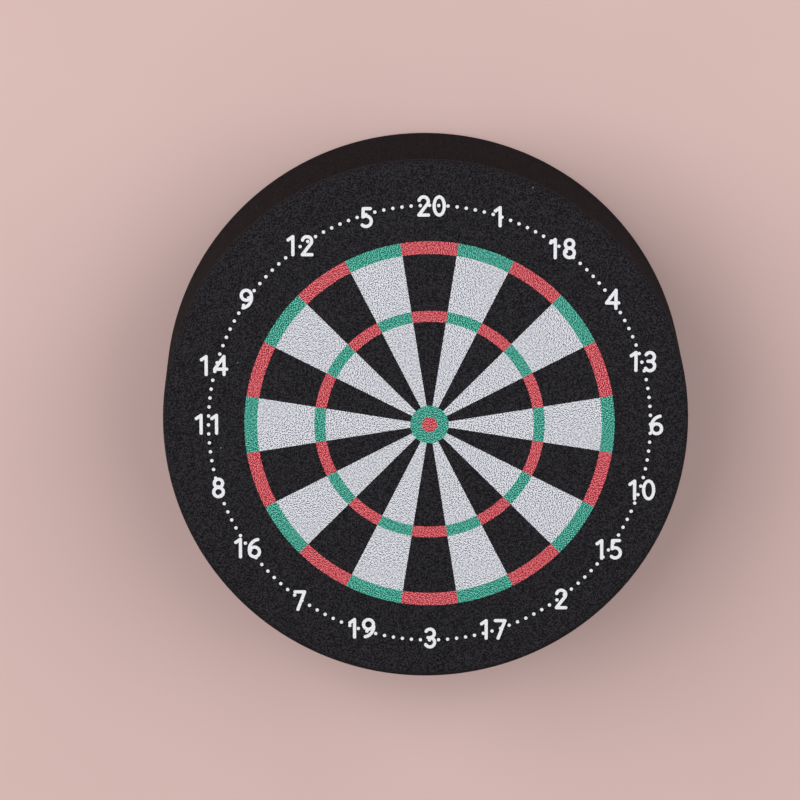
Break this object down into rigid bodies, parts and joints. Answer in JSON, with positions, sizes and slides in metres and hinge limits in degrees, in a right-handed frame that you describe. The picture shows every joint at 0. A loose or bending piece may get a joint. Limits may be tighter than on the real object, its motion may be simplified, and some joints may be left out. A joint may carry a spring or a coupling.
{
  "type": "magnetic dartboard",
  "caption": "Small magnetic dartboard: a deep black drum with a printed face over a steel plate, on a push-in back cover with feet, magnets and a keyhole.",
  "frame": {"origin": "on the surface that the feet stand on, on the drum's axis", "axes": "+Z along the drum's axis, out of the printed face; +Y towards the number 20; +X towards the number 6"},
  "size_m": [0.08, 0.0799, 0.028],
  "materials": {
    "shell_plastic": "fine grain on the face, smooth satin on the wall",
    "white_ink": "matt print with the face's grain",
    "red_ink": "matt print with the face's grain",
    "green_ink": "matt print with the face's grain",
    "number_ink": "matt print",
    "adhesive_film": "clear satin film",
    "steel_sheet": "cold-rolled, satin",
    "pad_foam": "closed-cell foam",
    "inner_plastic": "satin",
    "screw_steel": "zinc plated",
    "cover_plastic": "fine satin",
    "grip_rubber": "soft matt",
    "tray_foam": "closed-cell foam",
    "hanger_steel": "zinc plated",
    "magnet_nickel": "nickel plated",
    "foot_rubber": "soft matt"
  },
  "bodies": {
    "back": {"back_cover": "cover_plastic", "grip_ring": "grip_rubber", "dart_tray": "tray_foam", "backing_plate": "steel_sheet", "backing_screws": "screw_steel", "hanger_plate": "hanger_steel", "hanger_box": "inner_plastic", "hanger_screws": "screw_steel", "magnet_1": "magnet_nickel", "magnet_2": "magnet_nickel", "magnet_3": "magnet_nickel", "magnet_4": "magnet_nickel", "foot_1": "foot_rubber", "foot_2": "foot_rubber", "foot_3": "foot_rubber", "foot_4": "foot_rubber"},
    "drum": {"front_shell": "shell_plastic", "white_fields": "white_ink", "red_fields": "red_ink", "green_fields": "green_ink", "numerals": "number_ink", "ring_dots": "number_ink", "plate_adhesive": "adhesive_film", "target_plate": "steel_sheet", "damping_pad": "pad_foam", "clamp_ring": "inner_plastic", "clamp_screws": "screw_steel"}
  },
  "joints": [
    {"name": "drum_lift", "type": "slide", "parent": "back", "child": "drum", "axis": [0, 0, 1], "range_m": [0, 0.024]}
  ]
}
